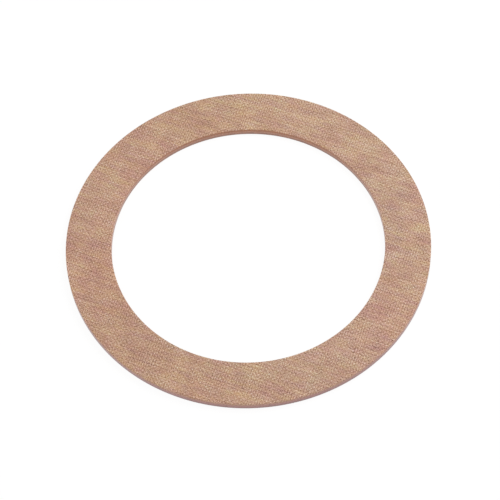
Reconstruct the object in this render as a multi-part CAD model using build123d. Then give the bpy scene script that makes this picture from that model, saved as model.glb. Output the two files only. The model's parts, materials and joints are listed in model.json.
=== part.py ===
from build123d import *
import os

# Thrust washer: one flat ring, cut from a sheet of cloth laminate and turned to size.
# Millimetres, +Z up. The ring lies on its lower thrust face, and the origin is the centre of that face.

# Driving dimensions
bore_diameter = 57.15
face_width = 9.525
thickness = 1.78
bore_edge_radius = 0.08
rim_edge_radius = 0.08

# Radii of the two turned walls
bore_radius = bore_diameter / 2
rim_radius = bore_radius + face_width


def half_section():
    """Section right of the axis: two flat thrust faces, two straight walls and four broken edges."""
    with BuildSketch(Plane.XZ) as section:
        with Locations((bore_radius, 0)):
            Rectangle(face_width, thickness, align=(Align.MIN, Align.MIN))
        fillet(section.vertices().group_by(Axis.X)[0], bore_edge_radius)
        fillet(section.vertices().group_by(Axis.X)[-1], rim_edge_radius)
    return section.sketch


def thrust_washer():
    """The section turned once round the bore's axis."""
    with BuildPart() as washer:
        revolve(half_section(), axis=Axis.Z)
    return washer.part


os.makedirs("parts", exist_ok=True)
export_step(thrust_washer(), "parts/thrust_washer.step")
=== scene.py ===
"""A cloth-laminate thrust washer on a plain pale floor.

The washer is turned to its section from a sheet of laminate whose faces carry the cloth's weave.
Lengths are metres in the mesh and the panel, and millimetres inside the material.
"""

import json
import math

import bpy
from mathutils import Matrix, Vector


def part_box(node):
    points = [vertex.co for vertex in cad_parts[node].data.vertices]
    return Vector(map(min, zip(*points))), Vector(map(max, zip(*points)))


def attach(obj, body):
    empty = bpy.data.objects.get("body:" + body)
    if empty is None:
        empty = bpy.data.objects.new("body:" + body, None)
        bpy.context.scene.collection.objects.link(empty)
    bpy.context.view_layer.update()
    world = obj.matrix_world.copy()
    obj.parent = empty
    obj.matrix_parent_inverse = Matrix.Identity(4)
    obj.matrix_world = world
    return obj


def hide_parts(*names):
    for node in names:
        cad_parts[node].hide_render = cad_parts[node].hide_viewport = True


bl_info = {
    "name": "Cloth-laminate thrust washer",
    "version": (1, 0, 0),
    "blender": (4, 5, 0),
    "location": "3D View > Sidebar > Washer",
    "description": "Makes a turned washer of woven cloth laminate, and a plain studio to show it in",
    "category": "Add Mesh",
}

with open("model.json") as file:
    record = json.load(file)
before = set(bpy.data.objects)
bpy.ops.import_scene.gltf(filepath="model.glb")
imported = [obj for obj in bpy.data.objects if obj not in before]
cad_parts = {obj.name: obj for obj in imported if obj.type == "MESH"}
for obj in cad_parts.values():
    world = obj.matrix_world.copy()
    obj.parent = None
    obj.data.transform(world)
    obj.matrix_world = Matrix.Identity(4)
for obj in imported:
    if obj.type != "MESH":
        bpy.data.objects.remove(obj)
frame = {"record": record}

NODE = "thrust_washer"
MM = 0.001
LOW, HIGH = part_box(NODE)
BORE_RADIUS = frame["record"]["mounts"][0]["dims"]["r_mm"] * MM
BORE_WALL = frame["record"]["mounts"][0]["dims"]["length_mm"] * MM


def linear(*rgb):
    """A colour given in 0 to 255, as the linear values that Blender's colours hold."""
    shares = (part / 255 for part in rgb)
    return tuple(c / 12.92 if c <= 0.04045 else ((c + 0.055) / 1.055) ** 2.4 for c in shares)


class WasherSize(bpy.types.PropertyGroup):
    """Sizes of the turned ring."""

    rim_radius: bpy.props.FloatProperty(
        name="Rim radius",
        description="From the axis to the rim wall",
        default=HIGH[0],
        min=0.001,
        unit="LENGTH",
        precision=5,
    )
    bore_radius: bpy.props.FloatProperty(
        name="Bore radius",
        description="From the axis to the bore wall",
        default=BORE_RADIUS,
        min=0.0005,
        unit="LENGTH",
        precision=5,
    )
    thickness: bpy.props.FloatProperty(
        name="Thickness",
        description="From the lower thrust face to the upper one",
        default=HIGH[2] - LOW[2],
        min=0.0001,
        unit="LENGTH",
        precision=5,
    )
    bore_edge: bpy.props.FloatProperty(
        name="Bore edge radius",
        description="Rounding of the two edges of the bore",
        default=(HIGH[2] - LOW[2] - BORE_WALL) / 2,
        min=0.0,
        unit="LENGTH",
        precision=5,
    )
    rim_edge: bpy.props.FloatProperty(
        name="Rim edge radius",
        description="Rounding of the two edges of the rim",
        default=0.08 * MM,
        min=0.0,
        unit="LENGTH",
        precision=5,
    )
    turns: bpy.props.IntProperty(
        name="Facets",
        description="Facets round the turned walls",
        default=720,
        min=24,
    )


class ClothWeave(bpy.types.PropertyGroup):
    """The plain-woven cotton cloth in the laminate."""

    warp_pitch: bpy.props.FloatProperty(
        name="Warp pitch",
        description="From one warp yarn to the next",
        default=0.504 * MM,
        min=0.0001,
        unit="LENGTH",
        precision=6,
    )
    weft_pitch: bpy.props.FloatProperty(
        name="Weft pitch",
        description="From one weft yarn to the next",
        default=0.447 * MM,
        min=0.0001,
        unit="LENGTH",
        precision=6,
    )
    warp_across: bpy.props.FloatProperty(
        name="Across the warp",
        description="Direction in which the warp yarns follow each other, from +X",
        default=math.radians(-20.8),
        subtype="ANGLE",
    )
    weft_across: bpy.props.FloatProperty(
        name="Across the weft",
        description="Direction in which the weft yarns follow each other, from +X",
        default=math.radians(65.2),
        subtype="ANGLE",
    )
    plies: bpy.props.IntProperty(
        name="Plies",
        description="Layers of cloth in the sheet",
        default=3,
        min=1,
    )
    depth: bpy.props.FloatProperty(
        name="Weave depth",
        description="How far the gaps between the yarns lie below the face",
        default=0.03 * MM,
        min=0.0,
        unit="LENGTH",
        precision=6,
    )
    sway: bpy.props.FloatProperty(
        name="Sway",
        description="How far the cloth was pulled out of square while it was pressed",
        default=0.35 * MM,
        min=0.0,
        unit="LENGTH",
        precision=6,
    )
    sway_length: bpy.props.FloatProperty(
        name="Sway length",
        description="Distance over which the sway changes",
        default=13 * MM,
        min=0.001,
        unit="LENGTH",
        precision=5,
    )
    waver: bpy.props.FloatProperty(
        name="Waver",
        description="How far the plies rise and fall in the cut walls, as a share of the thickness",
        default=0.3,
        min=0.0,
        max=1.0,
    )


class LaminateColours(bpy.types.PropertyGroup):
    """Colours of the cotton and the resin, with painted shade at the walls' feet and painted light along
    the rim's upper edge.
    """

    straw: bpy.props.FloatVectorProperty(
        name="Straw",
        description="Face where the cotton is yellow",
        default=linear(189, 148, 106),
        subtype="COLOR",
        min=0.0,
        max=1.0,
    )
    mauve: bpy.props.FloatVectorProperty(
        name="Mauve",
        description="Face where the cotton is grey",
        default=linear(186, 144, 134),
        subtype="COLOR",
        min=0.0,
        max=1.0,
    )
    russet: bpy.props.FloatVectorProperty(
        name="Russet",
        description="Face where the resin is thick",
        default=linear(196, 141, 122),
        subtype="COLOR",
        min=0.0,
        max=1.0,
    )
    tan: bpy.props.FloatVectorProperty(
        name="Tan",
        description="Face where the resin is thin",
        default=linear(180, 151, 120),
        subtype="COLOR",
        min=0.0,
        max=1.0,
    )
    resin: bpy.props.FloatVectorProperty(
        name="Resin",
        description="Bare resin between the cut yarns of the walls",
        default=linear(138, 97, 79),
        subtype="COLOR",
        min=0.0,
        max=1.0,
    )
    bore_top: bpy.props.FloatVectorProperty(
        name="Bore under the face",
        description="The inner wall along its upper edge, where the resin is thick",
        default=linear(178, 112, 74),
        subtype="COLOR",
        min=0.0,
        max=1.0,
    )
    bore_middle: bpy.props.FloatVectorProperty(
        name="Bore",
        description="The inner wall, halfway up",
        default=linear(196, 144, 119),
        subtype="COLOR",
        min=0.0,
        max=1.0,
    )
    # Painted shade: the inner wall is painted darker and greyer along its foot, for the shade where it
    # meets the floor.
    bore_foot_painted_shade: bpy.props.FloatVectorProperty(
        name="Bore at the floor",
        description="The inner wall along its lower edge",
        default=linear(164, 116, 98),
        subtype="COLOR",
        min=0.0,
        max=1.0,
    )
    # Painted light: the outer wall is painted lighter along its upper edge, for the light from above; its
    # orange is the cloth drawn over the edge.
    rim_top_drawn_and_lit: bpy.props.FloatVectorProperty(
        name="Rim under the face",
        description="The outer wall along its upper edge, where the cloth is drawn over",
        default=linear(202, 146, 131),
        subtype="COLOR",
        min=0.0,
        max=1.0,
    )
    rim_middle: bpy.props.FloatVectorProperty(
        name="Rim",
        description="The outer wall, halfway up",
        default=linear(185, 132, 126),
        subtype="COLOR",
        min=0.0,
        max=1.0,
    )
    # Painted shade: the outer wall is painted darker along its foot, for the shade where it meets the
    # floor.
    rim_foot_painted_shade: bpy.props.FloatVectorProperty(
        name="Rim at the floor",
        description="The outer wall along its lower edge",
        default=linear(159, 112, 111),
        subtype="COLOR",
        min=0.0,
        max=1.0,
    )


class FaceMarks(bpy.types.PropertyGroup):
    """How strongly the cloth's marks show, most of them as a share of the brightness around them; one of
    them is a painted highlight along the edges.
    """

    warp_ribs: bpy.props.FloatProperty(
        name="Warp ribs",
        description="How much lighter a warp yarn is along its middle",
        default=0.29,
    )
    weft_ribs: bpy.props.FloatProperty(
        name="Weft ribs",
        description="How much lighter a weft yarn is along its middle",
        default=0.18,
    )
    uneven_ribs: bpy.props.FloatProperty(
        name="Uneven ribs",
        description="How much stronger the ribs are in one place than in another",
        default=2.8,
    )
    over_under: bpy.props.FloatProperty(
        name="Warp over weft",
        description="How much lighter the warp is than the weft where each lies on top",
        default=0.22,
    )
    specks: bpy.props.FloatProperty(
        name="Specks",
        description="How much spots smaller than a yarn differ from each other",
        default=3.85,
    )
    blotches: bpy.props.FloatProperty(
        name="Blotches",
        description="How much spots as large as a yarn differ from each other",
        default=0.32,
    )
    fibres: bpy.props.FloatProperty(
        name="Fibres",
        description="How much the fibres of a yarn differ from each other",
        default=0.25,
    )
    weft_tone: bpy.props.FloatProperty(
        name="Uneven weft",
        description="How much the weft yarns differ from each other",
        default=0.49,
    )
    warp_tone: bpy.props.FloatProperty(
        name="Uneven warp",
        description="How much the warp yarns differ from each other",
        default=0.23,
    )
    weft_bands: bpy.props.FloatProperty(
        name="Weft bands",
        description="How much pairs of weft yarns differ from each other",
        default=0.58,
    )
    patches: bpy.props.FloatProperty(
        name="Patches",
        description="How much the resin's thickness changes the brightness",
        default=0.7,
    )
    streaks: bpy.props.FloatProperty(
        name="Streaks",
        description="How much lighter the weft is where its cotton is yellow",
        default=0.37,
    )
    fading: bpy.props.FloatProperty(
        name="Fading",
        description="How much the weave fades under thick resin, from 0 to 1",
        default=0.2,
        min=0.0,
        max=1.0,
    )
    weft_yellow: bpy.props.FloatProperty(
        name="Yellow weft",
        description="How much the weft yarns differ in yellowness",
        default=1.25,
    )
    cotton_yellow: bpy.props.FloatProperty(
        name="Yellow cotton",
        description="How much spots of all sizes differ in yellowness",
        default=2.3,
    )
    redness: bpy.props.FloatProperty(
        name="Redness",
        description="How much spots of all sizes differ in redness",
        default=2.05,
    )
    yellow_drift: bpy.props.FloatProperty(
        name="Yellow drift",
        description="How much yellowness changes from one side of the sheet to the other",
        default=0.75,
    )
    red_drift: bpy.props.FloatProperty(
        name="Red drift",
        description="How much redness changes from one side of the sheet to the other",
        default=1.45,
    )
    patch_redness: bpy.props.FloatProperty(
        name="Red resin",
        description="How much redder the dark patches are",
        default=3.0,
    )
    # Painted highlight: the faces are painted lighter next to the rim and the bore, for the light that the
    # bent edges catch.
    painted_edge_highlight: bpy.props.FloatProperty(
        name="Worn edges",
        description="How much lighter the cloth is where it bends over the edges",
        default=0.06,
    )
    wall_marks: bpy.props.FloatProperty(
        name="Uneven walls",
        description="How much the cut walls differ in brightness from place to place",
        default=0.4,
    )
    weave_yellow: bpy.props.FloatProperty(
        name="Yellow weave",
        description="How much yellower the weave's dark parts are",
        default=1.45,
    )
    weave_red: bpy.props.FloatProperty(
        name="Red weave",
        description="How much redder the weave's dark parts are",
        default=1.9,
    )


class StudioLight(bpy.types.PropertyGroup):
    """The floor, the lights and the camera."""

    sky: bpy.props.FloatProperty(
        name="Sky",
        description="Strength of the even light from all round",
        default=0.67,
        min=0.0,
    )
    key: bpy.props.FloatProperty(
        name="Key light",
        description="Power of the soft box over the washer",
        default=0.375,
        min=0.0,
        unit="POWER",
    )
    left: bpy.props.FloatProperty(
        name="Left light",
        description="Power of the low soft box on the left",
        default=0.8,
        min=0.0,
        unit="POWER",
    )
    right: bpy.props.FloatProperty(
        name="Right light",
        description="Power of the low soft box on the right",
        default=0.4,
        min=0.0,
        unit="POWER",
    )
    elevation: bpy.props.FloatProperty(
        name="Camera elevation",
        description="Height of the line of sight above the floor",
        default=math.radians(58.13),
        subtype="ANGLE",
    )
    roll: bpy.props.FloatProperty(
        name="Camera roll",
        description="Turn of the camera about its line of sight",
        default=math.radians(-3.01),
        subtype="ANGLE",
    )
    distance: bpy.props.FloatProperty(
        name="Camera distance",
        description="From the middle of the upper face to the camera, in rim radii",
        default=12.036,
        min=1.0,
    )
    focal_pixels: bpy.props.FloatProperty(
        name="Focal length in pixels",
        description="Focal length, as pixels of a picture that is 500 pixels wide",
        default=2198.1,
        min=1.0,
    )
    centre_column: bpy.props.FloatProperty(
        name="Centre column",
        description="Column of the 500-pixel picture that the line of sight meets",
        default=248.08,
    )
    centre_row: bpy.props.FloatProperty(
        name="Centre row",
        description="Row of the 500-pixel picture that the line of sight meets",
        default=242.07,
    )


# Width of the picture in pixels
PICTURE = 500

# Azimuth from +X and elevation in degrees, and distance in metres, of each soft box, and its width
KEY_PLACE = (28, 50, 0.3)
LEFT_PLACE = (195, 16, 1.0)
RIGHT_PLACE = (-15, 16, 1.0)
KEY_WIDTH = 0.2
SIDE_WIDTH = 0.5

# From the middle of the floor to its sides, and from the washer down to it, in metres
FLOOR_REACH = 1.5
FLOOR_GAP = 0.02 * MM

# Lightness of the floor for the light that it throws back, and what it reflects and adds where it is seen
PAPER = 0.8
SEEN_PAPER = 0.1
SEEN_GLOW = 0.92


class Wire:
    """An output socket. Python's operators on it add Math nodes to its tree."""

    def __init__(self, board, socket):
        self.board = board
        self.socket = socket

    def __add__(self, other):
        return self.board.math("ADD", self, other)

    def __radd__(self, other):
        return self.board.math("ADD", other, self)

    def __sub__(self, other):
        return self.board.math("SUBTRACT", self, other)

    def __rsub__(self, other):
        return self.board.math("SUBTRACT", other, self)

    def __mul__(self, other):
        return self.board.math("MULTIPLY", self, other)

    def __rmul__(self, other):
        return self.board.math("MULTIPLY", other, self)

    def __truediv__(self, other):
        return self.board.math("DIVIDE", self, other)

    def __rtruediv__(self, other):
        return self.board.math("DIVIDE", other, self)

    def __abs__(self):
        return self.board.math("ABSOLUTE", self)

    def __gt__(self, other):
        return self.board.math("GREATER_THAN", self, other)


class Board:
    """A node tree, shader or geometry, that nodes are added to."""

    def __init__(self, tree):
        self.tree = tree
        tree.nodes.clear()

    def node(self, kind, settings=None, sockets=None, output=0):
        """Adds a node, with its settings first and then the value or link of each socket."""
        node = self.tree.nodes.new(kind)
        for name, value in (settings or {}).items():
            if name == "stops":
                self.set_stops(node.color_ramp, value)
            else:
                setattr(node, name, value)
        for name, value in (sockets or {}).items():
            for item in value if isinstance(value, list) else [value]:
                if isinstance(item, Wire):
                    self.tree.links.new(item.socket, node.inputs[name])
                else:
                    node.inputs[name].default_value = item
        return Wire(self, node.outputs[output]) if node.outputs else node

    @staticmethod
    def set_stops(ramp, stops):
        """Gives a colour ramp these (place, colour) stops."""
        while len(ramp.elements) < len(stops):
            ramp.elements.new(1.0)
        for element, (place, colour) in zip(ramp.elements, stops):
            element.position = place
            element.color = (*colour, 1.0)

    def math(self, operation, *values):
        """A Math node on wires and numbers."""
        return self.node("ShaderNodeMath", {"operation": operation}, dict(enumerate(values)))

    def sin(self, angle):
        return self.math("SINE", angle)

    def cos(self, angle):
        return self.math("COSINE", angle)

    def floor(self, value):
        return self.math("FLOOR", value)

    def least(self, a, b):
        return self.math("MINIMUM", a, b)

    def most(self, a, b):
        return self.math("MAXIMUM", a, b)

    def limit(self, value, low=0.0, high=1.0):
        """The value, kept between low and high."""
        return self.node("ShaderNodeClamp", None, {"Value": value, "Min": low, "Max": high})

    def ease(self, value, start, end):
        """0 before start, 1 after end, and a smooth step between them."""
        return self.node(
            "ShaderNodeMapRange",
            {"interpolation_type": "SMOOTHSTEP"},
            {"Value": value, "From Min": start, "From Max": end},
        )

    def join(self, x, y, z):
        """A vector from three numbers or wires."""
        return self.node("ShaderNodeCombineXYZ", None, {"X": x, "Y": y, "Z": z})

    def split(self, vector):
        """The three parts of a vector."""
        x = self.node("ShaderNodeSeparateXYZ", None, {"Vector": vector}, "X")
        outputs = x.socket.node.outputs
        return x, Wire(self, outputs["Y"]), Wire(self, outputs["Z"])

    def noise(self, place, detail=0.0, roughness=0.5, lacunarity=2.0, output=0):
        """Smooth noise of about 0 to 1, with features one unit long."""
        return self.node(
            "ShaderNodeTexNoise",
            {"noise_dimensions": "3D"},
            {
                "Vector": place,
                "Scale": 1.0,
                "Detail": detail,
                "Roughness": roughness,
                "Lacunarity": lacunarity,
            },
            output,
        )

    def ramp(self, place, *stops):
        """The colour at a place from 0 to 1 among these (place, colour) stops."""
        return self.node("ShaderNodeValToRGB", {"stops": stops}, {"Fac": place})

    def mix(self, amount, first, second, limited=True):
        """The first colour where amount is 0, the second where it is 1, and beyond them if not limited."""
        settings = {"data_type": "RGBA", "clamp_factor": limited}
        return self.node("ShaderNodeMix", settings, {0: amount, 6: first, 7: second}, 2)

    def scale(self, colour, amount):
        """The colour, each of its parts times the amount."""
        return self.node("ShaderNodeVectorMath", {"operation": "SCALE"}, {0: colour, "Scale": amount})


# How far each ply lies from the one below, in yarns of the warp and of the weft
WARP_SLIP = 0.56
WEFT_SLIP = 0.91

# How far apart the plies are read in the noise of their sway, their marks and their bands
SWAY_STEP = 10.95
MARK_STEP = 8.55
BAND_STEP = 4.95

# The sheet's width over the ring's, the arcs of a broken edge, and the edges too short to keep
SHEET_TO_RING = 1.04
EDGE_ARCS = 5
WELD_LENGTH = 0.002 * MM


def cloth_sway(board, x, y, ply, cloth):
    """How far the cloth of a ply is pulled sideways at a point, as two lengths."""
    place = board.join(x / cloth["sway_length"], y / cloth["sway_length"], ply * SWAY_STEP)
    pull_x, pull_y, _ = board.split(board.noise(place, detail=1.0, output="Color"))
    return (pull_x - 0.5) * cloth["sway"] * 2.0, (pull_y - 0.5) * cloth["sway"] * 2.0


def yarn_counts(board, x, y, ply, cloth):
    """The yarns counted across the warp and across the weft, at a point of one ply.

    A whole number is a gap between two yarns."""
    pull_x, pull_y = cloth_sway(board, x, y, ply, cloth)
    x = x + pull_x
    y = y + pull_y
    warp = (x * cloth["warp_cos"] + y * cloth["warp_sin"]) / cloth["warp_pitch"] + ply * WARP_SLIP
    weft = (x * cloth["weft_cos"] + y * cloth["weft_sin"]) / cloth["weft_pitch"] + ply * WEFT_SLIP
    return warp, weft


def place_of_counts(board, warp, weft, ply, cloth):
    """The point of a ply that has these yarn counts, as x and y."""
    across = (warp - ply * WARP_SLIP) * cloth["warp_pitch"]
    along = (weft - ply * WEFT_SLIP) * cloth["weft_pitch"]
    skew = cloth["warp_cos"] * cloth["weft_sin"] - cloth["warp_sin"] * cloth["weft_cos"]
    x = (across * cloth["weft_sin"] - along * cloth["warp_sin"]) / skew
    y = (along * cloth["warp_cos"] - across * cloth["weft_cos"]) / skew
    near_x, near_y = cloth_sway(board, x, y, ply, cloth)
    pull_x, pull_y = cloth_sway(board, x - near_x, y - near_y, ply, cloth)
    return x - pull_x, y - pull_y


def weave_height(board, warp, weft):
    """Height of the upper yarn, from 0 in a gap's corner to 1 on a crown."""
    over_warp = abs(board.sin(warp * math.pi))
    over_weft = abs(board.sin(weft * math.pi))
    return (over_warp + over_weft) * 0.5


SHEET_SOCKETS = (
    ("Rim radius", "NodeSocketFloat"),
    ("Bore radius", "NodeSocketFloat"),
    ("Thickness", "NodeSocketFloat"),
    ("Rim edge radius", "NodeSocketFloat"),
    ("Bore edge radius", "NodeSocketFloat"),
    ("Facets", "NodeSocketInt"),
    ("Warp pitch", "NodeSocketFloat"),
    ("Weft pitch", "NodeSocketFloat"),
    ("Across the warp", "NodeSocketFloat"),
    ("Across the weft", "NodeSocketFloat"),
    ("Plies", "NodeSocketInt"),
    ("Weave depth", "NodeSocketFloat"),
    ("Sway", "NodeSocketFloat"),
    ("Sway length", "NodeSocketFloat"),
    ("Material", "NodeSocketMaterial"),
)


def turned_section(board, given):
    """The solid that the lathe leaves: the washer's section swept round the bore's axis."""
    band = given["Rim radius"] - given["Bore radius"]
    middle = (given["Rim radius"] + given["Bore radius"]) * 0.5
    section = board.node(
        "GeometryNodeCurvePrimitiveQuadrilateral",
        {"mode": "RECTANGLE"},
        {"Width": band, "Height": given["Thickness"]},
    )
    across, _, _ = board.split(board.node("GeometryNodeInputPosition"))
    outer = across > 0.0
    edge = given["Rim edge radius"] * outer + given["Bore edge radius"] * (1.0 - outer)
    section = board.node(
        "GeometryNodeFilletCurve",
        {"mode": "POLY"},
        {"Curve": section, "Radius": edge, "Count": EDGE_ARCS},
    )
    path = board.node(
        "GeometryNodeCurvePrimitiveCircle",
        {"mode": "RADIUS"},
        {"Resolution": given["Facets"], "Radius": middle},
    )
    path = board.node("GeometryNodeSetCurveNormal", {"mode": "Z_UP"}, {"Curve": path})
    ring = board.node("GeometryNodeCurveToMesh", None, {"Curve": path, "Profile Curve": section})
    lift = board.join(0.0, 0.0, given["Thickness"] * 0.5)
    return board.node("GeometryNodeSetPosition", None, {"Geometry": ring, "Offset": lift})


def pressed_sheet(board, given, cloth):
    """A sheet of laminate wider than the ring, with the weave standing out on both its faces.

    Its faces have a vertex at every half yarn: on the crowns, between them and in the gaps' corners."""
    reach = given["Rim radius"] * SHEET_TO_RING
    warp_yarns = board.math("CEIL", reach / given["Warp pitch"])
    weft_yarns = board.math("CEIL", reach / given["Weft pitch"])
    block = board.node(
        "GeometryNodeMeshCube",
        None,
        {
            "Size": board.join(warp_yarns * 2.0, weft_yarns * 2.0, 1.0),
            "Vertices X": warp_yarns * 4.0 + 1.0,
            "Vertices Y": weft_yarns * 4.0 + 1.0,
            "Vertices Z": 2,
        },
    )
    warp, weft, side = board.split(board.node("GeometryNodeInputPosition"))
    top = side > 0.0
    ply = top * (given["Plies"] - 1.0)
    x, y = place_of_counts(board, warp, weft, ply, cloth)
    sheet = board.node(
        "GeometryNodeSetPosition",
        None,
        {"Geometry": block, "Position": board.join(x, y, top * given["Thickness"])},
    )
    x, y, z = board.split(board.node("GeometryNodeInputPosition"))
    top = z > given["Thickness"] * 0.5
    warp, weft = yarn_counts(board, x, y, top * (given["Plies"] - 1.0), cloth)
    sunk = (1.0 - weave_height(board, warp, weft)) * given["Weave depth"]
    offset = board.join(0.0, 0.0, sunk * (1.0 - 2.0 * top))
    return board.node("GeometryNodeSetPosition", None, {"Geometry": sheet, "Offset": offset})


def washer_tree():
    """Geometry nodes that turn the washer out of its sheet."""
    tree = bpy.data.node_groups.new("turn_washer", "GeometryNodeTree")
    tree.is_modifier = True
    board = Board(tree)
    for name, kind in SHEET_SOCKETS:
        tree.interface.new_socket(name, in_out="INPUT", socket_type=kind)
    tree.interface.new_socket("Geometry", in_out="OUTPUT", socket_type="NodeSocketGeometry")
    inputs = board.node("NodeGroupInput").socket.node.outputs
    given = {name: Wire(board, inputs[name]) for name, _ in SHEET_SOCKETS}
    cloth = {
        "warp_pitch": given["Warp pitch"],
        "weft_pitch": given["Weft pitch"],
        "warp_cos": board.cos(given["Across the warp"]),
        "warp_sin": board.sin(given["Across the warp"]),
        "weft_cos": board.cos(given["Across the weft"]),
        "weft_sin": board.sin(given["Across the weft"]),
        "sway": given["Sway"],
        "sway_length": given["Sway length"],
    }
    washer = board.node(
        "GeometryNodeMeshBoolean",
        {"operation": "INTERSECT", "solver": "MANIFOLD"},
        {"Mesh 2": [pressed_sheet(board, given, cloth), turned_section(board, given)]},
        "Mesh",
    )
    washer = board.node(
        "GeometryNodeMergeByDistance",
        None,
        {"Geometry": washer, "Distance": WELD_LENGTH},
    )
    washer = board.node("GeometryNodeSetShadeSmooth", None, {"Geometry": washer, "Shade Smooth": True})
    washer = board.node("GeometryNodeRealizeInstances", None, {"Geometry": washer})
    washer = board.node(
        "GeometryNodeSetMaterial",
        None,
        {"Geometry": washer, "Material": given["Material"]},
    )
    board.node("NodeGroupOutput", None, {"Geometry": washer})
    return tree


def grown_mesh(name, tree, values):
    """The plain mesh that a geometry tree gives for these input values."""
    seed = bpy.data.objects.new(name, bpy.data.meshes.new(name))
    bpy.context.scene.collection.objects.link(seed)
    modifier = seed.modifiers.new(name, "NODES")
    modifier.node_group = tree
    for item in tree.interface.items_tree:
        if item.in_out == "INPUT":
            modifier[item.identifier] = values[item.name]
    shaped = seed.evaluated_get(bpy.context.evaluated_depsgraph_get())
    seed.data = bpy.data.meshes.new_from_object(shaped)
    seed.modifiers.clear()
    seed.data.name = name
    return seed


def opaque(colour):
    """A colour property as the four numbers of a colour socket."""
    return (*colour, 1.0)


# Mean height of a rib across its yarn, from 0 in the gap to 1 on the crown
MEAN_RIB = 2 / math.pi

# Half the width of the blend where one yarn dips under another, and the darkest shade of a speck
CROSSING = 0.12
DARKEST = 0.25

# How far from even the resin is where the weave has faded most, or not at all
RESIN_SPAN = 0.15

# Fibres to a yarn, their slant, how often they change along it, where the weft's are read, and their height
FIBRES = 9.0
SLANT = 2.2
FIBRE_ENDS = 1.1
WEFT_FIBRES = 70.0
FIBRE_RELIEF = 0.4

# Where the bands of the weft are read, to a yarn along it and across it, and how often they alternate there
BAND_ALONG = 0.1
BAND_ACROSS = 0.35
BAND_WAVES = 1.65


def face_colour(board, warp, weft, ply, marks, colours):
    """Colour of a thrust face, and the weave's relief there, of about 0 to 1."""
    across_warp = board.sin(warp * math.pi)
    across_weft = board.sin(weft * math.pi)
    in_warp = abs(across_warp)
    in_weft = abs(across_weft)
    warp_on_top = board.ease(across_warp * across_weft, -CROSSING, CROSSING)

    def uneven(along, across, seed, **octaves):
        """Noise about 0 with this many marks to a yarn along the weft and across it, at its own seed."""
        place = board.join(warp * along, weft * across, ply * MARK_STEP + seed)
        return board.noise(place, **octaves) - 0.5

    # Thick and thin resin, in patches
    resin = (
        uneven(0.03, 0.03, 1984.0) * 0.6
        + uneven(0.06, 0.06, 545.0)
        + uneven(0.1, 0.14, 612.0, detail=1.0, roughness=1.0) * 2.0
    ) / 3.0
    show = 1.0 - marks.fading * board.ease(resin, RESIN_SPAN, -RESIN_SPAN)
    warp_show = uneven(0.08, 0.08, 90.0) * marks.uneven_ribs + 1.0
    weft_show = uneven(0.08, 0.08, 140.0) * marks.uneven_ribs + 1.0

    # Fibres lie aslant in each yarn
    slanted = board.join(warp * FIBRES + weft * SLANT, weft * FIBRE_ENDS, board.floor(warp))
    warp_fibre = board.noise(slanted)
    slanted = board.join(weft * FIBRES + warp * SLANT, warp * FIBRE_ENDS, board.floor(weft) + WEFT_FIBRES)
    weft_fibre = board.noise(slanted)
    fibre = warp_fibre * warp_on_top + weft_fibre * (1.0 - warp_on_top) - 0.5

    # The weft yarns differ, each from the next and pair from pair
    pairs = board.node(
        "ShaderNodeTexGabor",
        {"gabor_type": "2D"},
        {
            "Vector": board.join(warp * BAND_ALONG + ply * BAND_STEP, weft * BAND_ACROSS, 0.0),
            "Scale": 1.0,
            "Frequency": BAND_WAVES,
            "Anisotropy": 1.0,
            "Orientation": math.pi / 2,
        },
    )
    weave = (
        (in_warp - MEAN_RIB) * marks.warp_ribs * warp_show
        + (in_weft - MEAN_RIB) * marks.weft_ribs * weft_show
        + across_warp * across_weft * marks.over_under
        + uneven(2.3, 2.3, 200.0, detail=1.0, roughness=1.0, lacunarity=1.4) * marks.specks
        + uneven(1.1, 1.1, 320.0) * marks.blotches
        + uneven(0.08, 1.8, 30.0) * marks.weft_tone
        + uneven(1.5, 0.08, 240.0) * marks.warp_tone
        + (pairs - 0.5) * marks.weft_bands
    ) * show + fibre * marks.fibres

    # Slower changes of the cotton's own colour
    yellow = uneven(0.08, 0.36, 50.0, detail=1.0, roughness=1.0)
    cotton = uneven(0.12, 0.12, 160.0, detail=4.0, roughness=1.0) * marks.cotton_yellow
    cotton = cotton + uneven(0.015, 0.015, 564.0) * marks.yellow_drift
    red = uneven(0.12, 0.12, 110.0, detail=3.5, roughness=1.0) * marks.redness
    red = red + uneven(0.015, 0.015, 2337.0) * marks.red_drift
    tone = resin * marks.patches + yellow * marks.streaks
    straw = yellow * marks.weft_yellow + cotton - weave * marks.weave_yellow + 0.5
    thin = tone * marks.patch_redness + weave * marks.weave_red - red + 0.5
    by_cotton = board.mix(straw, opaque(colours.mauve), opaque(colours.straw), limited=False)
    by_resin = board.mix(thin, opaque(colours.russet), opaque(colours.tan), limited=False)
    shade = board.most(1.0 + weave + tone, DARKEST)
    face = board.scale(board.mix(0.5, by_cotton, by_resin), shade)
    relief = (in_warp + in_weft) * 0.5 + fibre * FIBRE_RELIEF
    return face, relief


# Where a cut yarn's colour starts and where it is full, in half yarns inwards from its skin
SKIN = -0.1
CORE = 0.35

# Share of bare resin between the cut yarns
BARE_RESIN = 0.5


def wall_colour(board, warp, weft, level, half_yarn, wall, resin):
    """Colour of a turned wall, which cuts through the yarns of a ply at this level from its middle."""
    across_warp = board.sin(warp * math.pi)
    across_weft = board.sin(weft * math.pi)
    warp_level = level - across_weft * board.math("SIGN", across_warp) * half_yarn
    weft_level = level + across_warp * board.math("SIGN", across_weft) * half_yarn
    in_warp = abs(across_warp) * half_yarn - abs(warp_level)
    in_weft = abs(across_weft) * half_yarn - abs(weft_level)
    yarn = board.ease(board.most(in_warp, in_weft) / half_yarn, SKIN, CORE)
    return board.mix(yarn, board.mix(BARE_RESIN, wall, resin), wall)


# Heights on the walls, as shares of the thickness: where the bent cloth starts to give way to the cut,
# where it is gone, and where the lower, middle and upper colours are at their purest
BEND_START = 0.98
BORE_BEND_END = 0.84
RIM_BEND_END = 0.5
BORE_HEIGHTS = (0.15, 0.48, 0.74)
RIM_HEIGHTS = (0.1, 0.5, 0.9)

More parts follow.
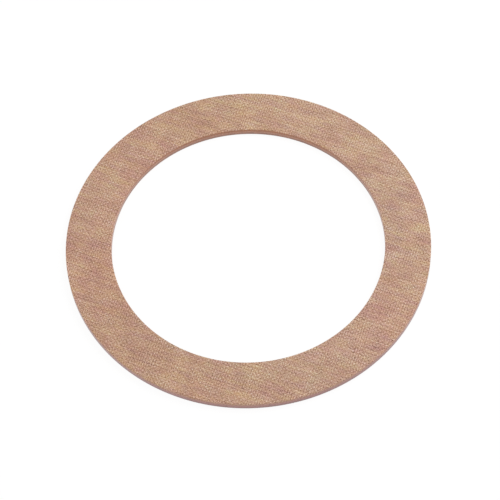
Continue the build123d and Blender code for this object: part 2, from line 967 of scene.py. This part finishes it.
# Distances from the walls in millimetres: the cut's soft edge, and the painted highlight on the face beside
# it
CUT_EDGE = 0.03
EDGE_LIGHT_NEAR = 0.04
EDGE_LIGHT_FAR = 0.14

# Waves of the plies to a millimetre, where they are read, and how much flatter than wide the spots are
WAVES = 0.5
WAVE_SEED = 7.0
SPOT_FLATNESS = 2.0

FACE_ROUGHNESS = 0.68
CROWN_POLISH = 0.1
WALL_ROUGHNESS = 0.3
BUMP_STRENGTH = 0.5
BUMP_DEPTH = 0.012 * MM


def laminate_material(size, weave, marks, colours):
    """Cotton cloth under resin: woven faces that bend over the edges, and walls cut through the plies, with
    a painted highlight along the edges and painted light and shade on the walls.
    """
    material = bpy.data.materials.new("woven_laminate")
    material.use_nodes = True
    board = Board(material.node_tree)
    here = board.node("ShaderNodeTexCoord", None, None, "Object")
    x, y, z = (part * (1 / MM) for part in board.split(here))
    cloth = {
        "warp_pitch": weave.warp_pitch / MM,
        "weft_pitch": weave.weft_pitch / MM,
        "warp_cos": math.cos(weave.warp_across),
        "warp_sin": math.sin(weave.warp_across),
        "weft_cos": math.cos(weave.weft_across),
        "weft_sin": math.sin(weave.weft_across),
        "sway": weave.sway / MM,
        "sway_length": weave.sway_length / MM,
    }
    thickness = size.thickness / MM
    ply_height = thickness / weave.plies
    ply = board.limit(board.floor(z / ply_height), 0, weave.plies - 1)
    warp, weft = yarn_counts(board, x, y, ply, cloth)

    radius = board.math("SQRT", x * x + y * y)
    rim = size.rim_radius / MM
    bore = size.bore_radius / MM
    middle = (rim + bore) / 2
    outer = radius > middle

    # The faces' cloth bends over the edges and runs on down the walls
    bent = board.least(z, thickness - z) * (2.0 * outer - 1.0) / radius + 1.0
    face_warp, face_weft = yarn_counts(board, x * bent, y * bent, ply, cloth)
    face, relief = face_colour(board, face_warp, face_weft, ply, marks, colours)

    from_edge = board.least(rim - radius, radius - bore)
    waver = board.noise(board.join(x * WAVES, y * WAVES, WAVE_SEED), detail=2.0) - 0.5
    height = board.limit(z / thickness + waver * weave.waver)
    bend_end = BORE_BEND_END - outer * (BORE_BEND_END - RIM_BEND_END)
    drawn_over = 1.0 - board.ease(height, BEND_START, bend_end)
    on_wall = (1.0 - board.ease(from_edge, 0.0, CUT_EDGE)) * (1.0 - drawn_over)
    # The walls' colour ramps carry painted shade at their feet, and painted light along the rim's upper
    # edge.
    bore_colours = (colours.bore_foot_painted_shade, colours.bore_middle, colours.bore_top)
    rim_colours = (colours.rim_foot_painted_shade, colours.rim_middle, colours.rim_top_drawn_and_lit)
    inner_wall = board.ramp(height, *zip(BORE_HEIGHTS, bore_colours))
    outer_wall = board.ramp(height, *zip(RIM_HEIGHTS, rim_colours))
    wall = board.mix(outer, inner_wall, outer_wall)
    level = z - (ply + 0.5) * ply_height
    half_yarn = ply_height / 4
    wall = wall_colour(board, warp, weft, level, half_yarn, wall, opaque(colours.resin))
    spots = board.noise(board.join(x, y, z * SPOT_FLATNESS), detail=2.0) - 0.5
    wall = board.scale(wall, 1.0 + spots * marks.wall_marks)
    # Painted highlight: the face is painted lighter next to both edges.
    painted_edge_light = (1.0 - board.ease(from_edge, EDGE_LIGHT_NEAR, EDGE_LIGHT_FAR)) * marks.painted_edge_highlight
    colour = board.mix(on_wall, board.scale(face, 1.0 + painted_edge_light), wall)

    cloth_roughness = FACE_ROUGHNESS - relief * CROWN_POLISH
    roughness = cloth_roughness + (WALL_ROUGHNESS - cloth_roughness) * on_wall
    bump = board.node(
        "ShaderNodeBump",
        None,
        {"Strength": BUMP_STRENGTH, "Distance": BUMP_DEPTH, "Height": relief},
    )
    surface = board.node(
        "ShaderNodeBsdfPrincipled",
        None,
        {"Base Color": colour, "Roughness": roughness, "Normal": bump},
    )
    board.node("ShaderNodeOutputMaterial", None, {"Surface": surface})
    return material


class WASHER_OT_ring(bpy.types.Operator):
    """Turn the washer out of a woven laminate sheet"""

    bl_idname = "washer.ring"
    bl_label = "Washer"
    bl_options = {"REGISTER", "UNDO"}

    def execute(self, context):
        size = context.scene.washer_size
        weave = context.scene.washer_weave
        material = laminate_material(size, weave, context.scene.washer_marks, context.scene.washer_colours)
        values = {
            "Rim radius": size.rim_radius,
            "Bore radius": size.bore_radius,
            "Thickness": size.thickness,
            "Rim edge radius": size.rim_edge,
            "Bore edge radius": size.bore_edge,
            "Facets": size.turns,
            "Warp pitch": weave.warp_pitch,
            "Weft pitch": weave.weft_pitch,
            "Across the warp": weave.warp_across,
            "Across the weft": weave.weft_across,
            "Plies": weave.plies,
            "Weave depth": weave.depth,
            "Sway": weave.sway,
            "Sway length": weave.sway_length,
            "Material": material,
        }
        washer = grown_mesh("woven_washer", washer_tree(), values)
        if not washer.data.polygons:
            raise RuntimeError("The washer came out empty: the sheet and the turned section don't meet.")
        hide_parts(NODE)
        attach(washer, "root")
        return {"FINISHED"}


class WASHER_OT_studio(bpy.types.Operator):
    """Set up the pale floor, the soft light and the camera"""

    bl_idname = "washer.studio"
    bl_label = "Studio"
    bl_options = {"REGISTER", "UNDO"}

    def execute(self, context):
        studio = context.scene.washer_studio
        size = context.scene.washer_size
        make_floor()
        make_sky(context.scene, studio.sky)
        make_soft_box(context.scene, "soft_box_above", studio.key, KEY_PLACE, KEY_WIDTH)
        make_soft_box(context.scene, "soft_box_left", studio.left, LEFT_PLACE, SIDE_WIDTH)
        make_soft_box(context.scene, "soft_box_right", studio.right, RIGHT_PLACE, SIDE_WIDTH)
        make_camera(context.scene, studio, size)
        context.scene.view_settings.view_transform = "Standard"
        return {"FINISHED"}


def grey(level):
    """A grey of this lightness as the four numbers of a colour socket."""
    return (level, level, level, 1.0)


def background_rays(board):
    """1 for the rays that show the background: straight, mirrored or through glass."""
    camera = board.node("ShaderNodeLightPath", None, None, "Is Camera Ray")
    rays = camera.socket.node.outputs
    return camera + Wire(board, rays["Is Glossy Ray"]) + Wire(board, rays["Is Transmission Ray"])


def make_floor():
    """A wide pale floor just under the washer."""
    far = FLOOR_REACH
    low = -FLOOR_GAP
    corners = [(-far, -far, low), (far, -far, low), (far, far, low), (-far, far, low)]
    mesh = bpy.data.meshes.new("floor")
    mesh.from_pydata(corners, [], [(0, 1, 2, 3)])
    floor = bpy.data.objects.new("floor", mesh)
    bpy.context.scene.collection.objects.link(floor)
    material = bpy.data.materials.new("floor")
    material.use_nodes = True
    board = Board(material.node_tree)
    paper = board.node("ShaderNodeBsdfDiffuse", None, {"Color": grey(PAPER)})
    seen_paper = board.node("ShaderNodeBsdfDiffuse", None, {"Color": grey(SEEN_PAPER)})
    glow = board.node("ShaderNodeEmission", None, {"Color": grey(1.0), "Strength": SEEN_GLOW})
    seen = board.node("ShaderNodeAddShader", None, {0: seen_paper, 1: glow})
    surface = board.node("ShaderNodeMixShader", None, {0: background_rays(board), 1: paper, 2: seen})
    board.node("ShaderNodeOutputMaterial", None, {"Surface": surface})
    mesh.materials.append(material)


def make_sky(scene, strength):
    """Even white light from all round, white to the camera."""
    world = bpy.data.worlds.new("sky")
    world.use_nodes = True
    board = Board(world.node_tree)
    light = board.node("ShaderNodeBackground", None, {"Color": grey(1.0), "Strength": strength})
    white = board.node("ShaderNodeBackground", None, {"Color": grey(1.0), "Strength": 1.0})
    surface = board.node("ShaderNodeMixShader", None, {0: background_rays(board), 1: light, 2: white})
    board.node("ShaderNodeOutputWorld", None, {"Surface": surface})
    scene.world = world


def make_soft_box(scene, name, power, place, width):
    """A square soft box that faces the washer from this azimuth, elevation and distance."""
    azimuth, elevation, distance = place
    lamp = bpy.data.lights.new(name, "AREA")
    lamp.shape = "SQUARE"
    lamp.size = width
    lamp.energy = power
    box = bpy.data.objects.new(name, lamp)
    turn = Matrix.Rotation(math.radians(azimuth + 90), 4, "Z")
    tip = Matrix.Rotation(math.radians(90 - elevation), 4, "X")
    box.matrix_world = turn @ tip @ Matrix.Translation((0, 0, distance))
    scene.collection.objects.link(box)


def make_camera(scene, studio, size):
    """A long lens that looks down at the washer at the photograph's angle."""
    data = bpy.data.cameras.new("camera")
    data.sensor_width = 36.0
    data.lens = studio.focal_pixels * data.sensor_width / PICTURE
    data.shift_x = (PICTURE / 2 - studio.centre_column) / PICTURE
    data.shift_y = (studio.centre_row - PICTURE / 2) / PICTURE
    data.clip_start = 0.01
    camera = bpy.data.objects.new("camera", data)
    tilt = Matrix.Rotation(math.pi / 2 - studio.elevation, 4, "X")
    back = Matrix.Translation((0, 0, studio.distance * size.rim_radius))
    turn = Matrix.Rotation(studio.roll, 4, "Z")
    camera.matrix_world = Matrix.Translation((0, 0, size.thickness)) @ tilt @ back @ turn
    scene.collection.objects.link(camera)
    scene.camera = camera


class WASHER_PT_panel(bpy.types.Panel):
    """Sizes, weave, colours and light of the washer"""

    bl_label = "Washer"
    bl_idname = "WASHER_PT_panel"
    bl_space_type = "VIEW_3D"
    bl_region_type = "UI"
    bl_category = "Washer"

    def draw(self, context):
        groups = (
            (context.scene.washer_size, WASHER_OT_ring.bl_idname),
            (context.scene.washer_weave, None),
            (context.scene.washer_marks, None),
            (context.scene.washer_colours, None),
            (context.scene.washer_studio, WASHER_OT_studio.bl_idname),
        )
        for group, operator in groups:
            column = self.layout.column(align=True)
            for name in group.__annotations__:
                column.prop(group, name)
            if operator:
                column.operator(operator)


GROUPS = (
    ("washer_size", WasherSize),
    ("washer_weave", ClothWeave),
    ("washer_marks", FaceMarks),
    ("washer_colours", LaminateColours),
    ("washer_studio", StudioLight),
)
CLASSES = (*(group for _, group in GROUPS), WASHER_OT_ring, WASHER_OT_studio, WASHER_PT_panel)


def register():
    for item in CLASSES:
        bpy.utils.register_class(item)
    for name, group in GROUPS:
        setattr(bpy.types.Scene, name, bpy.props.PointerProperty(type=group))


def unregister():
    for name, _ in GROUPS:
        delattr(bpy.types.Scene, name)
    for item in reversed(CLASSES):
        bpy.utils.unregister_class(item)


def main():
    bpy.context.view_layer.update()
    register()
    bpy.ops.washer.ring()
    bpy.ops.washer.studio()


if __name__ == "__main__":
    main()
